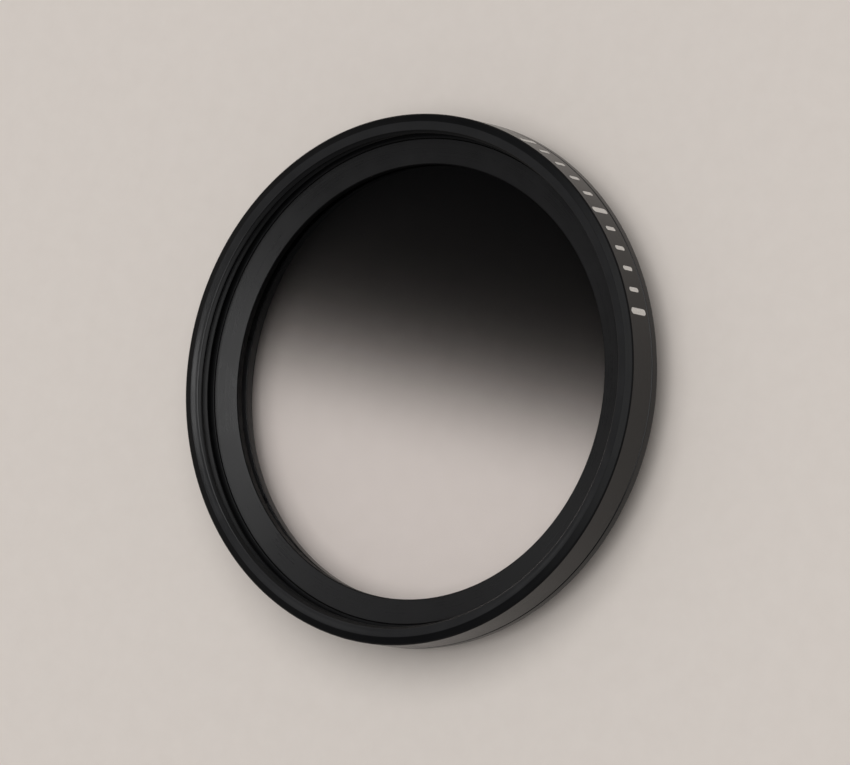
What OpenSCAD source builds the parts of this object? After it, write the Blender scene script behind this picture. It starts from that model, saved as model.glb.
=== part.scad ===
// Screw-in graduated neutral density filter for a 37 mm lens thread.
// A one-piece turned ring holds a thin glass disc, which a thin retaining
// ring clamps from the front.  One half of the disc is darkened, and its
// density fades away across the middle.
//
// Frame: the origin is the centre of the ring's rear end, +Z is the optical
// axis towards the front (the scene), +Y points to the dark half of the glass,
// and X runs along the line where the density fades.

/* [Rear thread] */
// Major diameter of the male thread that screws into a lens
thread_d = 37; // [36.8:0.1:37.4]
// Length of the threaded neck, from the rear end to the shoulder
neck_h = 2.2; // [2.2:0.1:2.6]
// Chamfer at the start of the male thread
neck_lead = 0.45; // [0.1:0.05:0.5]
// Width of the runout groove between the thread and the shoulder
runout_w = 0.3; // [0.2:0.05:0.4]
// Depth of the runout groove below the thread's crest
runout_t = 0.5; // [0.3:0.05:0.5]

/* [Ring body] */
// Outer diameter of the ring
body_d = 39; // [38.6:0.1:42]
// Overall height, from the rear end to the front face
total_h = 5.8; // [5.8:0.1:7]
// Height of the plain flange next to the shoulder, below the groove
flange_h = 0.75; // [0.4:0.05:1]
// Width of the fine groove round the side band
groove_w = 0.16; // [0.1:0.02:0.3]
// Depth of that groove
groove_t = 0.14; // [0.05:0.01:0.2]
// Chamfer of the shoulder's outer edge
shoulder_c = 0.15; // [0.05:0.05:0.3]
// Chamfer of the front outer corner
front_c = 0.10; // [0.05:0.01:0.2]
// Radial width of the outer land, which falls off outwards
land_w = 0.45; // [0.3:0.02:0.6]
// How far the outer land falls
land_drop = 0.15; // [0.02:0.01:0.2]

/* [Front thread] */
// Inner diameter of the female thread, on its crests
female_d = 36.2; // [36:0.1:36.4]
// Lead-in chamfer of the female thread
female_lead = 0.20; // [0.1:0.02:0.4]
// Depth of the front recess, from the front face to the retaining ring
recess_h = 1.6; // [1.4:0.1:2]
// Height of the undercut below the female thread
undercut_h = 0.25; // [0.2:0.05:0.4]
// Diameter of that undercut
undercut_d = 37; // [36.6:0.1:37.2]

/* [Glass and its seat] */
// Diameter of the glass disc
glass_d = 34.6; // [33:0.1:34.7]
// Thickness of the glass disc
glass_h = 1.0; // [0.8:0.1:1.6]
// Edge bevel of the glass disc
glass_c = 0.15; // [0.05:0.05:0.3]
// Radial gap between the glass and its seat
glass_gap = 0.1; // [0.05:0.01:0.2]
// Inner diameter of the lip under the glass
lip_d = 32.5; // [31:0.1:33]
// Thickness of that lip
lip_h = 0.7; // [0.35:0.05:0.9]
// Diameter of the recess behind the lip
rear_d = 34.4; // [33.6:0.1:34.8]
// Chamfer of the rear recess's mouth
rear_c = 0.2; // [0.1:0.05:0.3]

/* [Retaining ring] */
// Inner diameter of the retaining ring, which is the clear aperture
ring_id = 32.0; // [31:0.1:32.4]
// Outer diameter of the retaining ring
ring_od = 35.76; // [35.2:0.02:35.78]
// Thickness of the retaining ring
ring_h = 0.85; // [0.5:0.05:1]
// Bevel along the retaining ring's front edges
ring_c = 0.06; // [0.02:0.02:0.2]
// How far its conical face falls towards the aperture
ring_dish = 0.28; // [0:0.02:0.4]
// Diameter of the bore that the retaining ring sits in
ring_bore_d = 35.8; // [35.8:0.1:36]

/* [Hidden] */
$fn = 180;

// heights of the steps, counted from the rear end
z_shoulder = neck_h;
z_groove = neck_h + flange_h;
z_ring_top = total_h - recess_h;
z_glass_top = z_ring_top - ring_h;
z_seat = z_glass_top - glass_h;
z_lip_rear = z_seat - lip_h;

// radii
rt = thread_d / 2;
rb = body_d / 2;
rf = female_d / 2;
ru = undercut_d / 2;
r_bore = ring_bore_d / 2;
r_seat = glass_d / 2 + glass_gap;
r_lip = lip_d / 2;
r_rear = rear_d / 2;
uc = (ru - rf) / 2; // height of the slope from the thread down into the undercut

black = "#17181a";
inner_black = "#202123";
smoke = "#8c8987";

// The ring's section, outside first, from the rear end to the front face,
// then back down the inside
function outside() = [
    [rt - neck_lead, 0],
    [rt, neck_lead],
    [rt, z_shoulder - runout_w - runout_t / 2],
    [rt - runout_t, z_shoulder - runout_w],
    [rt - runout_t, z_shoulder],
    [rb - shoulder_c, z_shoulder],
    [rb, z_shoulder + shoulder_c],
    [rb, z_groove],
    [rb - groove_t, z_groove + groove_w / 3],
    [rb - groove_t, z_groove + 2 * groove_w / 3],
    [rb, z_groove + groove_w],
    [rb, total_h - land_drop - front_c],
    [rb - front_c, total_h - land_drop],
    [rb - front_c - land_w, total_h]
];

function inside() = [
    [rf + female_lead, total_h],
    [rf, total_h - female_lead],
    [rf, z_ring_top + undercut_h + uc],
    [ru, z_ring_top + undercut_h],
    [ru, z_ring_top],
    [r_bore, z_ring_top],
    [r_bore, z_glass_top],
    [r_seat, z_glass_top],
    [r_seat, z_seat],
    [r_lip, z_seat],
    [r_lip, z_lip_rear],
    [r_rear, z_lip_rear],
    [r_rear, rear_c],
    [r_rear + rear_c, 0]
];

// Turned ring: male thread neck, shoulder, side band, female thread recess,
// seat for the glass and lip behind it, all one piece
module frame_ring() {
    color(black)
    rotate_extrude()
    polygon(concat(outside(), inside()));
}

// Ring that holds the glass down: flat underneath, its face falls towards the
// aperture, and its front edges are broken
module retaining_ring() {
    ro = ring_od / 2;
    ri = ring_id / 2;
    color(inner_black)
    translate([0, 0, z_glass_top])
    rotate_extrude()
    polygon([
        [ri, 0],
        [ro, 0],
        [ro, ring_h - ring_c],
        [ro - ring_c, ring_h],
        [ri + ring_c, ring_h - ring_dish],
        [ri, ring_h - ring_dish - ring_c]
    ]);
}

// Plane-parallel glass disc with bevelled edges
module graduated_glass() {
    rg = glass_d / 2;
    color(smoke)
    translate([0, 0, z_seat])
    rotate_extrude()
    polygon([
        [0, 0],
        [rg - glass_c, 0],
        [rg, glass_c],
        [rg, glass_h - glass_c],
        [rg - glass_c, glass_h],
        [0, glass_h]
    ]);
}

frame_ring();
retaining_ring();
graduated_glass();
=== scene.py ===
import math

import bmesh
import bpy
from mathutils import Matrix, Vector


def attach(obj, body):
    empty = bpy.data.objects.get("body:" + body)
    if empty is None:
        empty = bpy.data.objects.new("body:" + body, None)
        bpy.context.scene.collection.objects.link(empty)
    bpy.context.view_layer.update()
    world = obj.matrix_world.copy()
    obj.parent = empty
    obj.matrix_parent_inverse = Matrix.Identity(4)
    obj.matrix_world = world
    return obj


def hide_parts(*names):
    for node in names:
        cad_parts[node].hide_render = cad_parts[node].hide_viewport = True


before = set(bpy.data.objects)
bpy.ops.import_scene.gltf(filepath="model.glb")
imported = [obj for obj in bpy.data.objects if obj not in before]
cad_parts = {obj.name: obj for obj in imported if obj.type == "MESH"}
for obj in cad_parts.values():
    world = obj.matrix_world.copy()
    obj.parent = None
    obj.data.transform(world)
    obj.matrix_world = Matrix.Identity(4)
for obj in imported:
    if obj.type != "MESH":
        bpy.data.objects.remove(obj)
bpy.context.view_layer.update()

MM = 0.001
TURN = 360  # columns round a turned piece
PITCH = 0.75


# ---------------------------------------------------------------- turned shapes

def arc(cx, cz, r, a0, a1, n):
    """Points on a small rounding, for a section."""
    return [
        (
            cx + r * math.cos(math.radians(a0 + (a1 - a0) * i / n)),
            cz + r * math.sin(math.radians(a0 + (a1 - a0) * i / n)),
        )
        for i in range(n + 1)
    ]


class Plain:
    """A stretch of the section that is the same all the way round."""

    def __init__(self, points, finish=0):
        self.rows = len(points)
        self.points = points
        self.finish = finish

    def at(self, i, turn):
        return self.points[i]


class Thread:
    """A helical thread: rows follow the helix, cut off between lo and hi. shape is (share of a pitch, radius) pairs, and limit(z) holds the radius back where the thread runs in and out."""

    def __init__(self, lo, hi, shape, limit, inside, phase, down=False, finish=0):
        self.lo, self.hi, self.shape = lo, hi, shape
        self.limit, self.inside, self.down = limit, inside, down
        self.finish = finish
        self.per = len(shape)
        turns = int((hi - lo) / PITCH) + 3
        self.rows = self.per * turns
        self.start = lo - PITCH * (1.0 + phase)

    def at(self, i, turn):
        if self.down:
            i = self.rows - 1 - i
        k, s = divmod(i, self.per)
        share, r = self.shape[s]
        z = self.start + PITCH * (k + share + turn)
        if z < self.lo + 0.004 or z > self.hi - 0.004:
            z = min(max(z, self.lo), self.hi)
            if z < self.lo + 0.004:
                z = self.lo
            if z > self.hi - 0.004:
                z = self.hi
            r = self.limit(z)
        else:
            r = max(r, self.limit(z)) if self.inside else min(r, self.limit(z))
        return r, z


def turned(name, sections, closed=True, columns=TURN):
    """A mesh object of the whole section turned about Z. Each stretch's number picks its material."""
    cols, where = [], []
    for n, s in enumerate(sections):
        where += [(n, i) for i in range(s.rows)]
    m = len(where)
    bm = bmesh.new()
    for j in range(columns):
        turn = j / columns
        a = 2 * math.pi * turn
        ca, sa = math.cos(a), math.sin(a)
        col = []
        for n, i in where:
            r, z = sections[n].at(i, turn)
            col.append(bm.verts.new((r * ca * MM, r * sa * MM, z * MM)))
        cols.append(col)
    first = {}
    for k, (n, i) in enumerate(where):
        first.setdefault(n, k)

    def wrapped(k):
        """The row in column 0 that row k of the last column goes on to, or None past a thread's end."""
        n, i = where[k]
        s = sections[n]
        if not isinstance(s, Thread):
            return k
        j = i - s.per if s.down else i + s.per
        if j < 0 or j >= s.rows:
            return None
        return first[n] + j

    pairs = [(k, k + 1) for k in range(m - 1)] + ([(m - 1, 0)] if closed else [])
    for j in range(columns):
        here = cols[j]
        last = j == columns - 1
        there = cols[0] if last else cols[j + 1]
        for a, b in pairs:
            ta, tb = a, b
            if last:
                same = where[a][0] == where[b][0]
                if same and isinstance(sections[where[a][0]], Thread):
                    ta, tb = wrapped(a), wrapped(b)
                    if ta is None or tb is None:
                        continue
            quad = [here[a], there[ta], there[tb], here[b]]
            try:
                f = bm.faces.new(quad)
            except ValueError:
                continue
            f.material_index = sections[where[a][0]].finish
            f.smooth = True
    bmesh.ops.remove_doubles(bm, verts=bm.verts, dist=0.0006 * MM)
    bmesh.ops.dissolve_degenerate(bm, dist=0.0004 * MM, edges=bm.edges)
    loose = [v for v in bm.verts if not v.link_faces]
    bmesh.ops.delete(bm, geom=loose, context="VERTS")
    bmesh.ops.recalc_face_normals(bm, faces=bm.faces)
    if bm.calc_volume(signed=True) < 0:
        bmesh.ops.reverse_faces(bm, faces=bm.faces)
    open_edges = sum(1 for e in bm.edges if len(e.link_faces) != 2)
    mesh = bpy.data.meshes.new(name)
    bm.to_mesh(mesh)
    bm.free()
    ob = bpy.data.objects.new(name, mesh)
    bpy.context.scene.collection.objects.link(ob)
    print(name, "verts", len(mesh.vertices), "tris", sum(len(p.vertices) - 2 for p in mesh.polygons), "open edges", open_edges)
    return ob


def sharpen(ob, degrees, weighted=True):
    ob.data.set_sharp_from_angle(angle=math.radians(degrees))
    if weighted:
        mod = ob.modifiers.new("even normals", "WEIGHTED_NORMAL")
        mod.mode = "FACE_AREA"
        mod.weight = 50
        mod.keep_sharp = True


# ---------------------------------------------------------------- the frame ring

def male_shape():
    """One pitch of the 37 x 0.75 male thread: crest, flank, root, flank, with the crest's corners broken."""
    top, root = 18.5, 18.04
    return [
        (0.000, top - 0.012),
        (0.016, top),
        (0.062, top),
        (0.109, top),
        (0.125, top - 0.012),
        (0.200, top - 0.105),
        (0.290, top - 0.222),
        (0.380, top - 0.339),
        (0.440, root + 0.036),
        (0.475, root + 0.008),
        (0.540, root),
        (0.600, root),
        (0.650, root + 0.008),
        (0.685, root + 0.036),
        (0.745, top - 0.339),
        (0.835, top - 0.222),
        (0.925, top - 0.105),
    ]


def female_shape():
    """One pitch of the matching female thread, whose crest is the inner one."""
    crest, major = 18.1, 18.47
    return [
        (0.000, crest + 0.012),
        (0.016, crest),
        (0.125, crest),
        (0.234, crest),
        (0.250, crest + 0.012),
        (0.320, crest + 0.103),
        (0.400, crest + 0.207),
        (0.480, crest + 0.310),
        (0.530, major - 0.012),
        (0.560, major),
        (0.625, major),
        (0.690, major),
        (0.720, major - 0.012),
        (0.770, crest + 0.310),
        (0.850, crest + 0.207),
        (0.930, crest + 0.103),
    ]


def male_limit(z):
    return min(18.02 + (z - 0.03), 18.5 - max(0.0, z - 1.65) * 1.93, 18.5)


def female_limit(z):
    return max(18.1, 18.1 + (z - 5.51), 18.1 + (4.65 - z) * 2)


RING_SECTION = [
    # rear end face and the start of the neck
    Plain([(17.44, 0.0), (17.60, 0.0), (17.75, 0.0), (17.90, 0.0)] + arc(17.985, 0.035, 0.035, -90, -45, 2)),
    Thread(0.03, 1.89, male_shape(), male_limit, False, 0.10),
    # runout groove, shoulder
    Plain(
        [(18.0, 1.93), (18.0, 2.0), (18.0, 2.12)]
        + arc(18.06, 2.14, 0.06, 180, 90, 3)
        + [(18.16, 2.2), (18.5, 2.2), (18.9, 2.2), (19.24, 2.2)]
        + arc(19.32, 2.26, 0.06, -90, -45, 2)
        + arc(19.44, 2.38, 0.06, -45, 0, 2)
    ),
    # flange, groove, side band
    Plain(
        [(19.5, 2.45), (19.5, 2.66), (19.5, 2.90)]
        + arc(19.475, 2.935, 0.025, 0, 60, 2)
        + [(19.385, 2.995), (19.362, 3.012), (19.36, 3.03), (19.362, 3.048), (19.385, 3.065)]
        + arc(19.475, 3.125, 0.025, -60, 0, 2)
    ),
    Plain(
        [(19.5, 3.16), (19.5, 3.7), (19.5, 4.33), (19.5, 4.96), (19.5, 5.48)]
    ),
    # front outer corner and the sloping land, in a darker copy of the black: painted shade in place of a dark
    # reflection
    Plain(
        arc(19.45, 5.53, 0.05, 0, 45, 2)
        + arc(19.385, 5.595, 0.05, 45, 71, 2)
        + [(19.33, 5.666), (19.15, 5.726), (19.0, 5.776)]
        + [(18.975, 5.7845), (18.955, 5.793), (18.935, 5.798)],
        finish=4,
    ),
    # front face, turned very slightly hollow, in a lighter copy of the black: painted light on the face that looks up
    Plain(
        [(18.915, 5.8), (18.895, 5.7985)]
        + [(18.72, 5.7740), (18.56, 5.7515), (18.53, 5.7475), (18.44, 5.7390), (18.35, 5.7310)]
        + [(18.33, 5.7280), (18.313, 5.7215)],
        finish=2,
    ),
    # the female thread takes a darker copy of the black: painted shade in the thread
    Thread(4.46, 5.71, female_shape(), female_limit, True, 0.35, down=True, finish=1),
    # undercut and the step under it, down to the glass seat; the undercut and the shelf at its foot take the darker
    # copy: painted shade in the recess
    Plain(
        [(18.5, 4.44), (18.5, 4.33), (18.5, 4.24), (18.488, 4.212), (18.46, 4.2)]
        + [(18.3, 4.2), (18.1, 4.2), (17.93, 4.2)]
        + arc(17.93, 4.17, 0.03, 90, 180, 3),
        finish=1,
    ),
    Plain(
        [(17.9, 4.1), (17.9, 3.7), (17.9, 3.40), (17.89, 3.36), (17.86, 3.35)]
        + [(17.6, 3.35), (17.43, 3.35), (17.4, 3.32), (17.4, 2.9), (17.4, 2.40), (17.39, 2.36), (17.36, 2.35)]
    ),
    # the glass seat takes a lighter copy of the black: painted light under the overhang
    Plain([(17.0, 2.35), (16.6, 2.35), (16.31, 2.35)], finish=3),
    # lip
    Plain(
        arc(16.31, 2.29, 0.06, 90, 180, 3)
        + [(16.25, 2.15), (16.25, 1.85)]
        + arc(16.31, 1.71, 0.06, 180, 270, 3)
    ),
    # recess behind the lip, and its mouth
    Plain(
        [(16.45, 1.65), (16.8, 1.65), (17.14, 1.65), (17.185, 1.635), (17.2, 1.60), (17.2, 1.2), (17.2, 0.7), (17.2, 0.27)]
        + arc(17.26, 0.20, 0.06, 180, 225, 2)
        + [(17.36, 0.055), (17.395, 0.018)]
    ),
]

ring = turned("filter_frame", RING_SECTION)
sharpen(ring, 40)

# ---------------------------------------------------------------- the retaining ring

HOLDER_SECTION = [
    Plain(
        [(16.04, 3.35), (16.5, 3.35), (17.2, 3.35), (17.84, 3.35)]
        + arc(17.85, 3.38, 0.03, -90, 0, 2)
        + [(17.88, 3.5), (17.88, 3.8), (17.88, 4.08)]
        + arc(17.85, 4.125, 0.03, 0, 45, 2)
        + arc(17.805, 4.17, 0.03, 45, 80, 2)
    ),
    Plain([(17.78, 4.1960), (17.62, 4.1692), (17.30, 4.1157), (16.94, 4.0555), (16.60, 3.9986), (16.30, 3.9484), (16.09, 3.9133)]),
    # the inner wall takes a darker, matt copy of the black: painted shade on the wall
    Plain(
        arc(16.062, 3.888, 0.02, 99, 135, 2)
        + arc(16.02, 3.85, 0.02, 135, 180, 2)
        + [(16.0, 3.82), (16.0, 3.74), (16.0, 3.60), (16.0, 3.45)]
        + arc(16.04, 3.39, 0.04, 180, 240, 2),
        finish=1,
    ),
]
holder = turned("glass_holder_ring", HOLDER_SECTION)
sharpen(holder, 40)


# ---------------------------------------------------------------- the glass

def disc(name, radius, bevel, low, high, columns=240):
    """A plane-parallel disc with a bevelled edge. The flats are material 0 and the ground edge is material 1."""
    rows = [
        (radius * 0.25, high), (radius * 0.5, high), (radius * 0.75, high), (radius - bevel, high),
        (radius - bevel * 0.8, high - bevel * 0.2), (radius - bevel * 0.2, high - bevel * 0.8), (radius, high - bevel),
        (radius, low + bevel), (radius - bevel * 0.2, low + bevel * 0.8), (radius - bevel * 0.8, low + bevel * 0.2),
        (radius - bevel, low), (radius * 0.75, low), (radius * 0.5, low), (radius * 0.25, low),
    ]
    bm = bmesh.new()
    cols = []
    for j in range(columns):
        a = 2 * math.pi * j / columns
        cols.append([bm.verts.new((r * math.cos(a) * MM, r * math.sin(a) * MM, z * MM)) for r, z in rows])
    top = bm.verts.new((0, 0, high * MM))
    bottom = bm.verts.new((0, 0, low * MM))
    for j in range(columns):
        a, b = cols[j], cols[(j + 1) % columns]
        bm.faces.new((top, a[0], b[0])).material_index = 0
        for k in range(len(rows) - 1):
            f = bm.faces.new((a[k], a[k + 1], b[k + 1], b[k]))
            f.material_index = 1 if 3 <= k <= 9 else 0
        bm.faces.new((bottom, b[-1], a[-1])).material_index = 0
    bmesh.ops.recalc_face_normals(bm, faces=bm.faces)
    for f in bm.faces:
        f.smooth = True
    mesh = bpy.data.meshes.new(name)
    bm.to_mesh(mesh)
    bm.free()
    ob = bpy.data.objects.new(name, mesh)
    bpy.context.scene.collection.objects.link(ob)
    return ob


glass = disc("graduated_disc", 17.3, 0.15, 2.35, 3.35)
glass.data.set_sharp_from_angle(angle=math.radians(30))


# ---------------------------------------------------------------- plain index marks on the side band

def marks(name, first, step, count, long_every, r0=19.502, thick=0.012):
    """White strokes printed on the side band, first and step in degrees from +Y towards +X. Each is a thin pad with round ends, bent to the band."""
    bm = bmesh.new()
    for n in range(count):
        long = n % long_every == 0
        high = 0.95 if long else 0.60
        half_w = 0.24 if long else 0.17
        mid = 4.32
        centre = math.radians(90 - (first + step * n))
        outline = []
        for k in range(9):
            t = math.pi * k / 8
            outline.append((half_w * math.cos(t), mid + high - half_w + half_w * math.sin(t)))
        for k in range(9):
            t = math.pi + math.pi * k / 8
            outline.append((half_w * math.cos(t), mid - high + half_w + half_w * math.sin(t)))
        faces = []
        for r in (r0, r0 + thick):
            faces.append(
                [
                    bm.verts.new(
                        (
                            r * math.cos(centre + x / r) * MM,
                            r * math.sin(centre + x / r) * MM,
                            z * MM,
                        )
                    )
                    for x, z in outline
                ]
            )
        low, top = faces
        bm.faces.new(top)
        bm.faces.new(list(reversed(low)))
        for k in range(len(outline)):
            j = (k + 1) % len(outline)
            bm.faces.new((low[k], low[j], top[j], top[k]))
    bmesh.ops.recalc_face_normals(bm, faces=bm.faces)
    mesh = bpy.data.meshes.new(name)
    bm.to_mesh(mesh)
    bm.free()
    ob = bpy.data.objects.new(name, mesh)
    bpy.context.scene.collection.objects.link(ob)
    return ob


ticks = marks("index_marks", 15.0, 4.9, 11, 5)


# ---------------------------------------------------------------- materials

class Nodes:
    """Short names for building a node tree."""

    def __init__(self, name):
        self.mat = bpy.data.materials.new(name)
        self.mat.use_nodes = True
        self.tree = self.mat.node_tree
        self.tree.nodes.clear()
        self.out = self.tree.nodes.new("ShaderNodeOutputMaterial")

    def add(self, kind, **inputs):
        n = self.tree.nodes.new(kind)
        for k, v in inputs.items():
            setattr(n, k, v)
        return n

    def link(self, a, b):
        self.tree.links.new(a, b)

    def maths(self, op, a, b=None, clamp=False):
        n = self.tree.nodes.new("ShaderNodeMath")
        n.operation = op
        n.use_clamp = clamp
        for sock, v in zip(n.inputs, (a, b)):
            if v is None:
                continue
            if isinstance(v, (int, float)):
                sock.default_value = v
            else:
                self.link(v, sock)
        return n.outputs[0]

    def span(self, value, lo, hi, to_lo, to_hi, smooth=False):
        n = self.tree.nodes.new("ShaderNodeMapRange")
        n.interpolation_type = "SMOOTHSTEP" if smooth else "LINEAR"
        self.link(value, n.inputs["Value"])
        for k, v in zip(("From Min", "From Max", "To Min", "To Max"), (lo, hi, to_lo, to_hi)):
            n.inputs[k].default_value = v
        return n.outputs["Result"]

    def noise(self, vector, scale, detail=2.0, rough=0.5, lacunarity=2.0):
        n = self.tree.nodes.new("ShaderNodeTexNoise")
        self.link(vector, n.inputs["Vector"])
        n.inputs["Scale"].default_value = scale
        n.inputs["Detail"].default_value = detail
        n.inputs["Roughness"].default_value = rough
        n.inputs["Lacunarity"].default_value = lacunarity
        return n.outputs["Fac"]

    def mix(self, fac, a, b):
        n = self.tree.nodes.new("ShaderNodeMix")
        n.data_type = "RGBA"
        if isinstance(fac, (int, float)):
            n.inputs["Factor"].default_value = fac
        else:
            self.link(fac, n.inputs["Factor"])
        for sock, v in zip((n.inputs[6], n.inputs[7]), (a, b)):
            if isinstance(v, tuple):
                sock.default_value = (*v, 1.0)
            else:
                self.link(v, sock)
        return n.outputs[2]


def place(m):
    """Object coordinates in millimetres, their x, y and z, and the distance from the axis."""
    tc = m.add("ShaderNodeTexCoord")
    mm = m.add("ShaderNodeVectorMath", operation="SCALE")
    m.link(tc.outputs["Object"], mm.inputs[0])
    mm.inputs["Scale"].default_value = 1000.0
    sep = m.add("ShaderNodeSeparateXYZ")
    m.link(mm.outputs[0], sep.inputs[0])
    x, y, z = sep.outputs
    r = m.maths("SQRT", m.maths("ADD", m.maths("MULTIPLY", x, x), m.maths("MULTIPLY", y, y)))
    return mm.outputs[0], x, y, z, r


def turned_metal(name, base, light, rough, aniso, line_gain, grain_gain, ior=1.38):
    """Black anodised aluminium as it comes off a lathe: fine tool lines that run round the axis and a satin grain."""
    m = Nodes(name)
    mm, x, y, z, r = place(m)
    # tool lines: noise that changes fast across the turning direction and slowly along it
    lines = m.add("ShaderNodeCombineXYZ")
    m.link(m.maths("ADD", m.maths("MULTIPLY", r, 9.0), m.maths("MULTIPLY", x, 0.06)), lines.inputs[0])
    m.link(m.maths("ADD", m.maths("MULTIPLY", z, 9.0), m.maths("MULTIPLY", y, 0.06)), lines.inputs[1])
    tool = m.noise(lines.outputs[0], 1.0, 3.0, 0.6)
    # satin grain of the etched and anodised skin
    grain = m.noise(mm, 9.0, 2.0, 0.6)
    cloud = m.noise(mm, 0.35, 3.0, 0.55)
    p = m.add("ShaderNodeBsdfPrincipled")
    tone = m.mix(m.span(cloud, 0.35, 0.65, 0.0, 1.0), base, tuple(c * 1.25 for c in base))
    tone = m.mix(m.span(tool, 0.3, 0.7, 0.0, 0.35), tone, light)
    m.link(tone, p.inputs["Base Color"])
    ro = m.maths(
        "ADD",
        m.maths("ADD", m.span(cloud, 0.3, 0.7, -0.035, 0.035), m.span(tool, 0.3, 0.7, -0.04, 0.04)),
        rough,
    )
    m.link(ro, p.inputs["Roughness"])
    p.inputs["Metallic"].default_value = 0.0
    p.inputs["IOR"].default_value = ior
    p.inputs["Anisotropic"].default_value = aniso
    p.inputs["Anisotropic Rotation"].default_value = 0.25
    tangent = m.add("ShaderNodeTangent", direction_type="RADIAL", axis="Z")
    m.link(tangent.outputs[0], p.inputs["Tangent"])
    high = m.maths("ADD", m.maths("MULTIPLY", tool, line_gain), m.maths("MULTIPLY", grain, grain_gain))
    bump = m.add("ShaderNodeBump")
    bump.inputs["Strength"].default_value = 1.0
    bump.inputs["Distance"].default_value = 0.00001
    m.link(high, bump.inputs["Height"])
    m.link(bump.outputs[0], p.inputs["Normal"])
    m.link(p.outputs[0], m.out.inputs["Surface"])
    return m.mat


frame_black = turned_metal("black_anodised", (0.0058, 0.0057, 0.0060), (0.0092, 0.0091, 0.0095), 0.23, 0.3, 0.18, 0.16, 1.35)
holder_black = turned_metal("black_anodised_matt", (0.0056, 0.0054, 0.0056), (0.0092, 0.0089, 0.0092), 0.30, 0.3, 0.20, 0.16, 1.45)
# a lighter copy of the black for the front face: painted light
face_painted_light = turned_metal("black_anodised_face_painted_light", (0.0152, 0.0152, 0.0157), (0.0206, 0.0206, 0.0212), 0.15, 0.3, 0.10, 0.10, 1.40)
# a darker copy of the black for the outer corner and land: painted shade in place of a dark reflection
chamfer_painted_shade = turned_metal("black_anodised_chamfer_painted_shade", (0.0030, 0.0031, 0.0034), (0.0055, 0.0056, 0.0060), 0.34, 0.3, 0.16, 0.25, 1.22)
# a lighter copy of the black for the glass seat: painted light
seat_painted_light = turned_metal("black_anodised_seat_painted_light", (0.020, 0.0203, 0.021), (0.030, 0.0303, 0.031), 0.40, 0.0, 0.16, 0.30)
# a darker copy of the black for the female thread and the undercut: painted shade
thread_painted_shade = turned_metal("black_anodised_thread_painted_shade", (0.0030, 0.0031, 0.0034), (0.0055, 0.0056, 0.0060), 0.36, 0.3, 0.30, 0.45, 1.30)
# a darker, matt copy of the black for the holder's inner wall: painted shade
wall_painted_shade = turned_metal("black_matt_wall_painted_shade", (0.0022, 0.0023, 0.0024), (0.0040, 0.0041, 0.0042), 0.48, 0.0, 0.20, 0.60, 1.18)


def graduated_coating():
    """Glass seen straight through, with a neutral density that rises across the middle towards +Y, and a coated surface that mirrors a little."""
    m = Nodes("graduated_neutral_glass")
    mm, x, y, z, r = place(m)
    cloud = m.noise(mm, 0.5, 2.0, 0.5)
    t = m.maths("ADD", y, m.span(cloud, 0.3, 0.7, -0.12, 0.12))
    ramp = m.add("ShaderNodeValToRGB")
    m.link(m.span(t, -10.0, 18.0, 0.0, 1.0), ramp.inputs[0])
    ramp.color_ramp.interpolation = "B_SPLINE"
    # optical density of one pass: almost clear, a steady rise, then slower
    stops = [(-10, 0.0), (-6.5, 0.002), (-4.5, 0.010), (-2, 0.063), (1, 0.248), (4, 0.550), (7, 0.862), (10, 1.06), (14, 1.25), (18, 1.34)]
    el = ramp.color_ramp.elements
    for n, (at, density) in enumerate(stops):
        pos = (at + 10.0) / 28.0
        e = el[n] if n < 2 else el.new(pos)
        e.position = pos
        v = density / 1.5
        e.color = (v, v, v, 1.0)
    each = m.maths("MULTIPLY", ramp.outputs[0], -0.5 * 1.5)
    through = m.maths("POWER", 10.0, each)
    tint = m.mix(through, (0.0, 0.0, 0.0), (0.999, 0.993, 0.995))
    clear = m.add("ShaderNodeBsdfTransparent")
    m.link(tint, clear.inputs["Color"])
    gloss = m.add("ShaderNodeBsdfGlossy")
    gloss.inputs["Color"].default_value = (0.96, 0.97, 1.0, 1.0)
    gloss.inputs["Roughness"].default_value = 0.02
    # a coated face mirrors little when looked at straight, and more at a low angle; the same from inside
    lw = m.add("ShaderNodeLayerWeight")
    lw.inputs["Blend"].default_value = 0.5
    low = m.maths("POWER", lw.outputs["Facing"], 5.0)
    share = m.maths("ADD", m.maths("MULTIPLY", low, 0.9), 0.012)
    mixer = m.add("ShaderNodeMixShader")
    m.link(share, mixer.inputs[0])
    m.link(clear.outputs[0], mixer.inputs[1])
    m.link(gloss.outputs[0], mixer.inputs[2])
    m.link(mixer.outputs[0], m.out.inputs["Surface"])
    return m.mat


def ground_edge():
    m = Nodes("ground_glass_edge")
    mm, x, y, z, r = place(m)
    grain = m.noise(mm, 12.0, 2.0, 0.6)
    p = m.add("ShaderNodeBsdfPrincipled")
    m.link(m.mix(m.span(grain, 0.3, 0.7, 0.0, 1.0), (0.05, 0.055, 0.055), (0.11, 0.115, 0.11)), p.inputs["Base Color"])
    m.link(m.span(grain, 0.3, 0.7, 0.5, 0.75), p.inputs["Roughness"])
    bump = m.add("ShaderNodeBump")
    bump.inputs["Distance"].default_value = 0.00001
    m.link(grain, bump.inputs["Height"])
    m.link(bump.outputs[0], p.inputs["Normal"])
    m.link(p.outputs[0], m.out.inputs["Surface"])
    return m.mat


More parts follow.
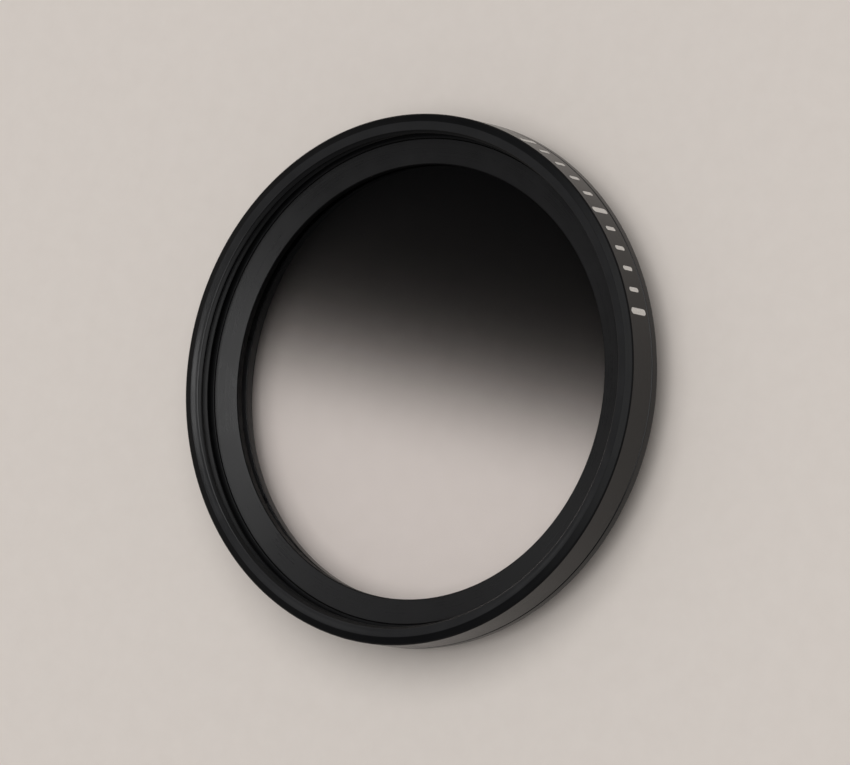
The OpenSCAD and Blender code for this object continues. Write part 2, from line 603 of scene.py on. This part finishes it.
def white_ink():
    m = Nodes("white_ink")
    mm, x, y, z, r = place(m)
    grain = m.noise(mm, 7.0, 3.0, 0.6)
    p = m.add("ShaderNodeBsdfPrincipled")
    m.link(m.mix(m.span(grain, 0.3, 0.7, 0.0, 1.0), (0.60, 0.585, 0.56), (0.74, 0.725, 0.70)), p.inputs["Base Color"])
    m.link(m.span(grain, 0.3, 0.7, 0.42, 0.6), p.inputs["Roughness"])
    bump = m.add("ShaderNodeBump")
    bump.inputs["Distance"].default_value = 0.000006
    m.link(grain, bump.inputs["Height"])
    m.link(bump.outputs[0], p.inputs["Normal"])
    m.link(p.outputs[0], m.out.inputs["Surface"])
    return m.mat


ring.data.materials.append(frame_black)
ring.data.materials.append(thread_painted_shade)
ring.data.materials.append(face_painted_light)
ring.data.materials.append(seat_painted_light)
ring.data.materials.append(chamfer_painted_shade)
holder.data.materials.append(holder_black)
holder.data.materials.append(wall_painted_shade)
glass.data.materials.append(graduated_coating())
glass.data.materials.append(ground_edge())
ticks.data.materials.append(white_ink())

for piece, node, slot in (
    (ring, "frame_ring", "ring_anodised"),
    (holder, "retaining_ring", "retainer_anodised"),
    (glass, "graduated_glass", "glass_graduated"),
):
    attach(piece, "root")
    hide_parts(node)
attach(ticks, "root")


# ---------------------------------------------------------------- floor, light, camera

def floor():
    bm = bmesh.new()
    bmesh.ops.create_circle(bm, cap_ends=True, segments=96, radius=6.0)
    for v in bm.verts:
        v.co.z = 0.0
    mesh = bpy.data.meshes.new("floor")
    bm.to_mesh(mesh)
    bm.free()
    ob = bpy.data.objects.new("floor", mesh)
    bpy.context.scene.collection.objects.link(ob)
    m = Nodes("pale_floor")
    mm, x, y, z, r = place(m)
    soft = m.noise(mm, 0.6, 4.0, 0.6)
    p = m.add("ShaderNodeBsdfPrincipled")
    m.link(m.mix(m.span(soft, 0.3, 0.7, 0.0, 1.0), (0.794, 0.730, 0.673), (0.814, 0.750, 0.693)), p.inputs["Base Color"])
    p.inputs["Roughness"].default_value = 0.85
    p.inputs["Specular IOR Level"].default_value = 0.2
    m.link(p.outputs[0], m.out.inputs["Surface"])
    ob.data.materials.append(m.mat)
    return ob


floor()


def far_light(name, towards, watts, width, colour=(1.0, 1.0, 1.0)):
    """A large soft source far away, so that the floor is lit evenly out to its end. towards points to it, and width is the angle that it fills, in degrees."""
    light = bpy.data.lights.new(name, "SUN")
    light.energy = watts
    light.angle = math.radians(width)
    light.color = colour
    ob = bpy.data.objects.new(name, light)
    ob.location = Vector(towards).normalized()
    ob.rotation_mode = "QUATERNION"
    ob.rotation_quaternion = (-Vector(towards)).to_track_quat("-Z", "Y")
    bpy.context.scene.collection.objects.link(ob)
    return ob


far_light("overhead", (0.20, 0.20, 0.96), 1.79, 60)
far_light("window", (-0.767, 0.122, 0.629), 0.018, 10)
far_light("lamp", (-0.335, 0.035, 0.9415), 0.030, 6)
far_light("fill", (-0.50, 0.28, 0.82), 0.020, 14)

# the surroundings: as pale as the floor along the horizon, dim overhead
world = bpy.data.worlds.new("studio")
bpy.context.scene.world = world
world.use_nodes = True
wt = world.node_tree
wt.nodes.clear()
w_out = wt.nodes.new("ShaderNodeOutputWorld")
w_bg = wt.nodes.new("ShaderNodeBackground")
w_tc = wt.nodes.new("ShaderNodeTexCoord")
w_sep = wt.nodes.new("ShaderNodeSeparateXYZ")
w_map = wt.nodes.new("ShaderNodeMapRange")
w_mix = wt.nodes.new("ShaderNodeMix")
w_mix.data_type = "RGBA"
w_map.interpolation_type = "SMOOTHSTEP"
w_map.inputs["From Min"].default_value = 0.0
w_map.inputs["From Max"].default_value = 0.55
w_mix.inputs[6].default_value = (0.617, 0.567, 0.525, 1.0)
w_mix.inputs[7].default_value = (0.17, 0.17, 0.175, 1.0)
wt.links.new(w_tc.outputs["Generated"], w_sep.inputs[0])
wt.links.new(w_sep.outputs[2], w_map.inputs["Value"])
wt.links.new(w_map.outputs["Result"], w_mix.inputs["Factor"])
wt.links.new(w_mix.outputs[2], w_bg.inputs["Color"])
w_bg.inputs["Strength"].default_value = 1.0
wt.links.new(w_bg.outputs[0], w_out.inputs["Surface"])

view = bpy.context.scene.view_settings
view.view_transform = "Standard"
view.look = "None"
view.exposure = 0.0
view.gamma = 1.0

# The photograph looks down on the filter from +X, 33.7 degrees off its axis, with the dark half up and the picture rolled by 11 degrees.
OFF_AXIS, SWING, DISTANCE = math.radians(33.7), math.radians(2.0), 0.622
spin = Matrix.Rotation(SWING, 3, "Z")
to_camera = spin @ Vector((math.sin(OFF_AXIS), 0, math.cos(OFF_AXIS)))
side = spin @ Vector((math.cos(OFF_AXIS), 0, -math.sin(OFF_AXIS)))
upper = spin @ Vector((0, 1, 0))
up = (upper * 0.9816 - side * 0.1908).normalized()
across = (side * 0.9816 + upper * 0.1908).normalized()
cam = bpy.data.cameras.new("camera")
cam.sensor_width = 36.0
cam.lens = 360.0
cam.clip_start, cam.clip_end = 0.05, 50.0
eye = bpy.data.objects.new("camera", cam)
target = Vector((0.0, 0.0, 0.0030))
eye.matrix_world = Matrix.Translation(target + to_camera * DISTANCE) @ Matrix(
    (
        (across.x, up.x, to_camera.x),
        (across.y, up.y, to_camera.y),
        (across.z, up.z, to_camera.z),
    )
).to_4x4()
bpy.context.scene.collection.objects.link(eye)
bpy.context.scene.camera = eye
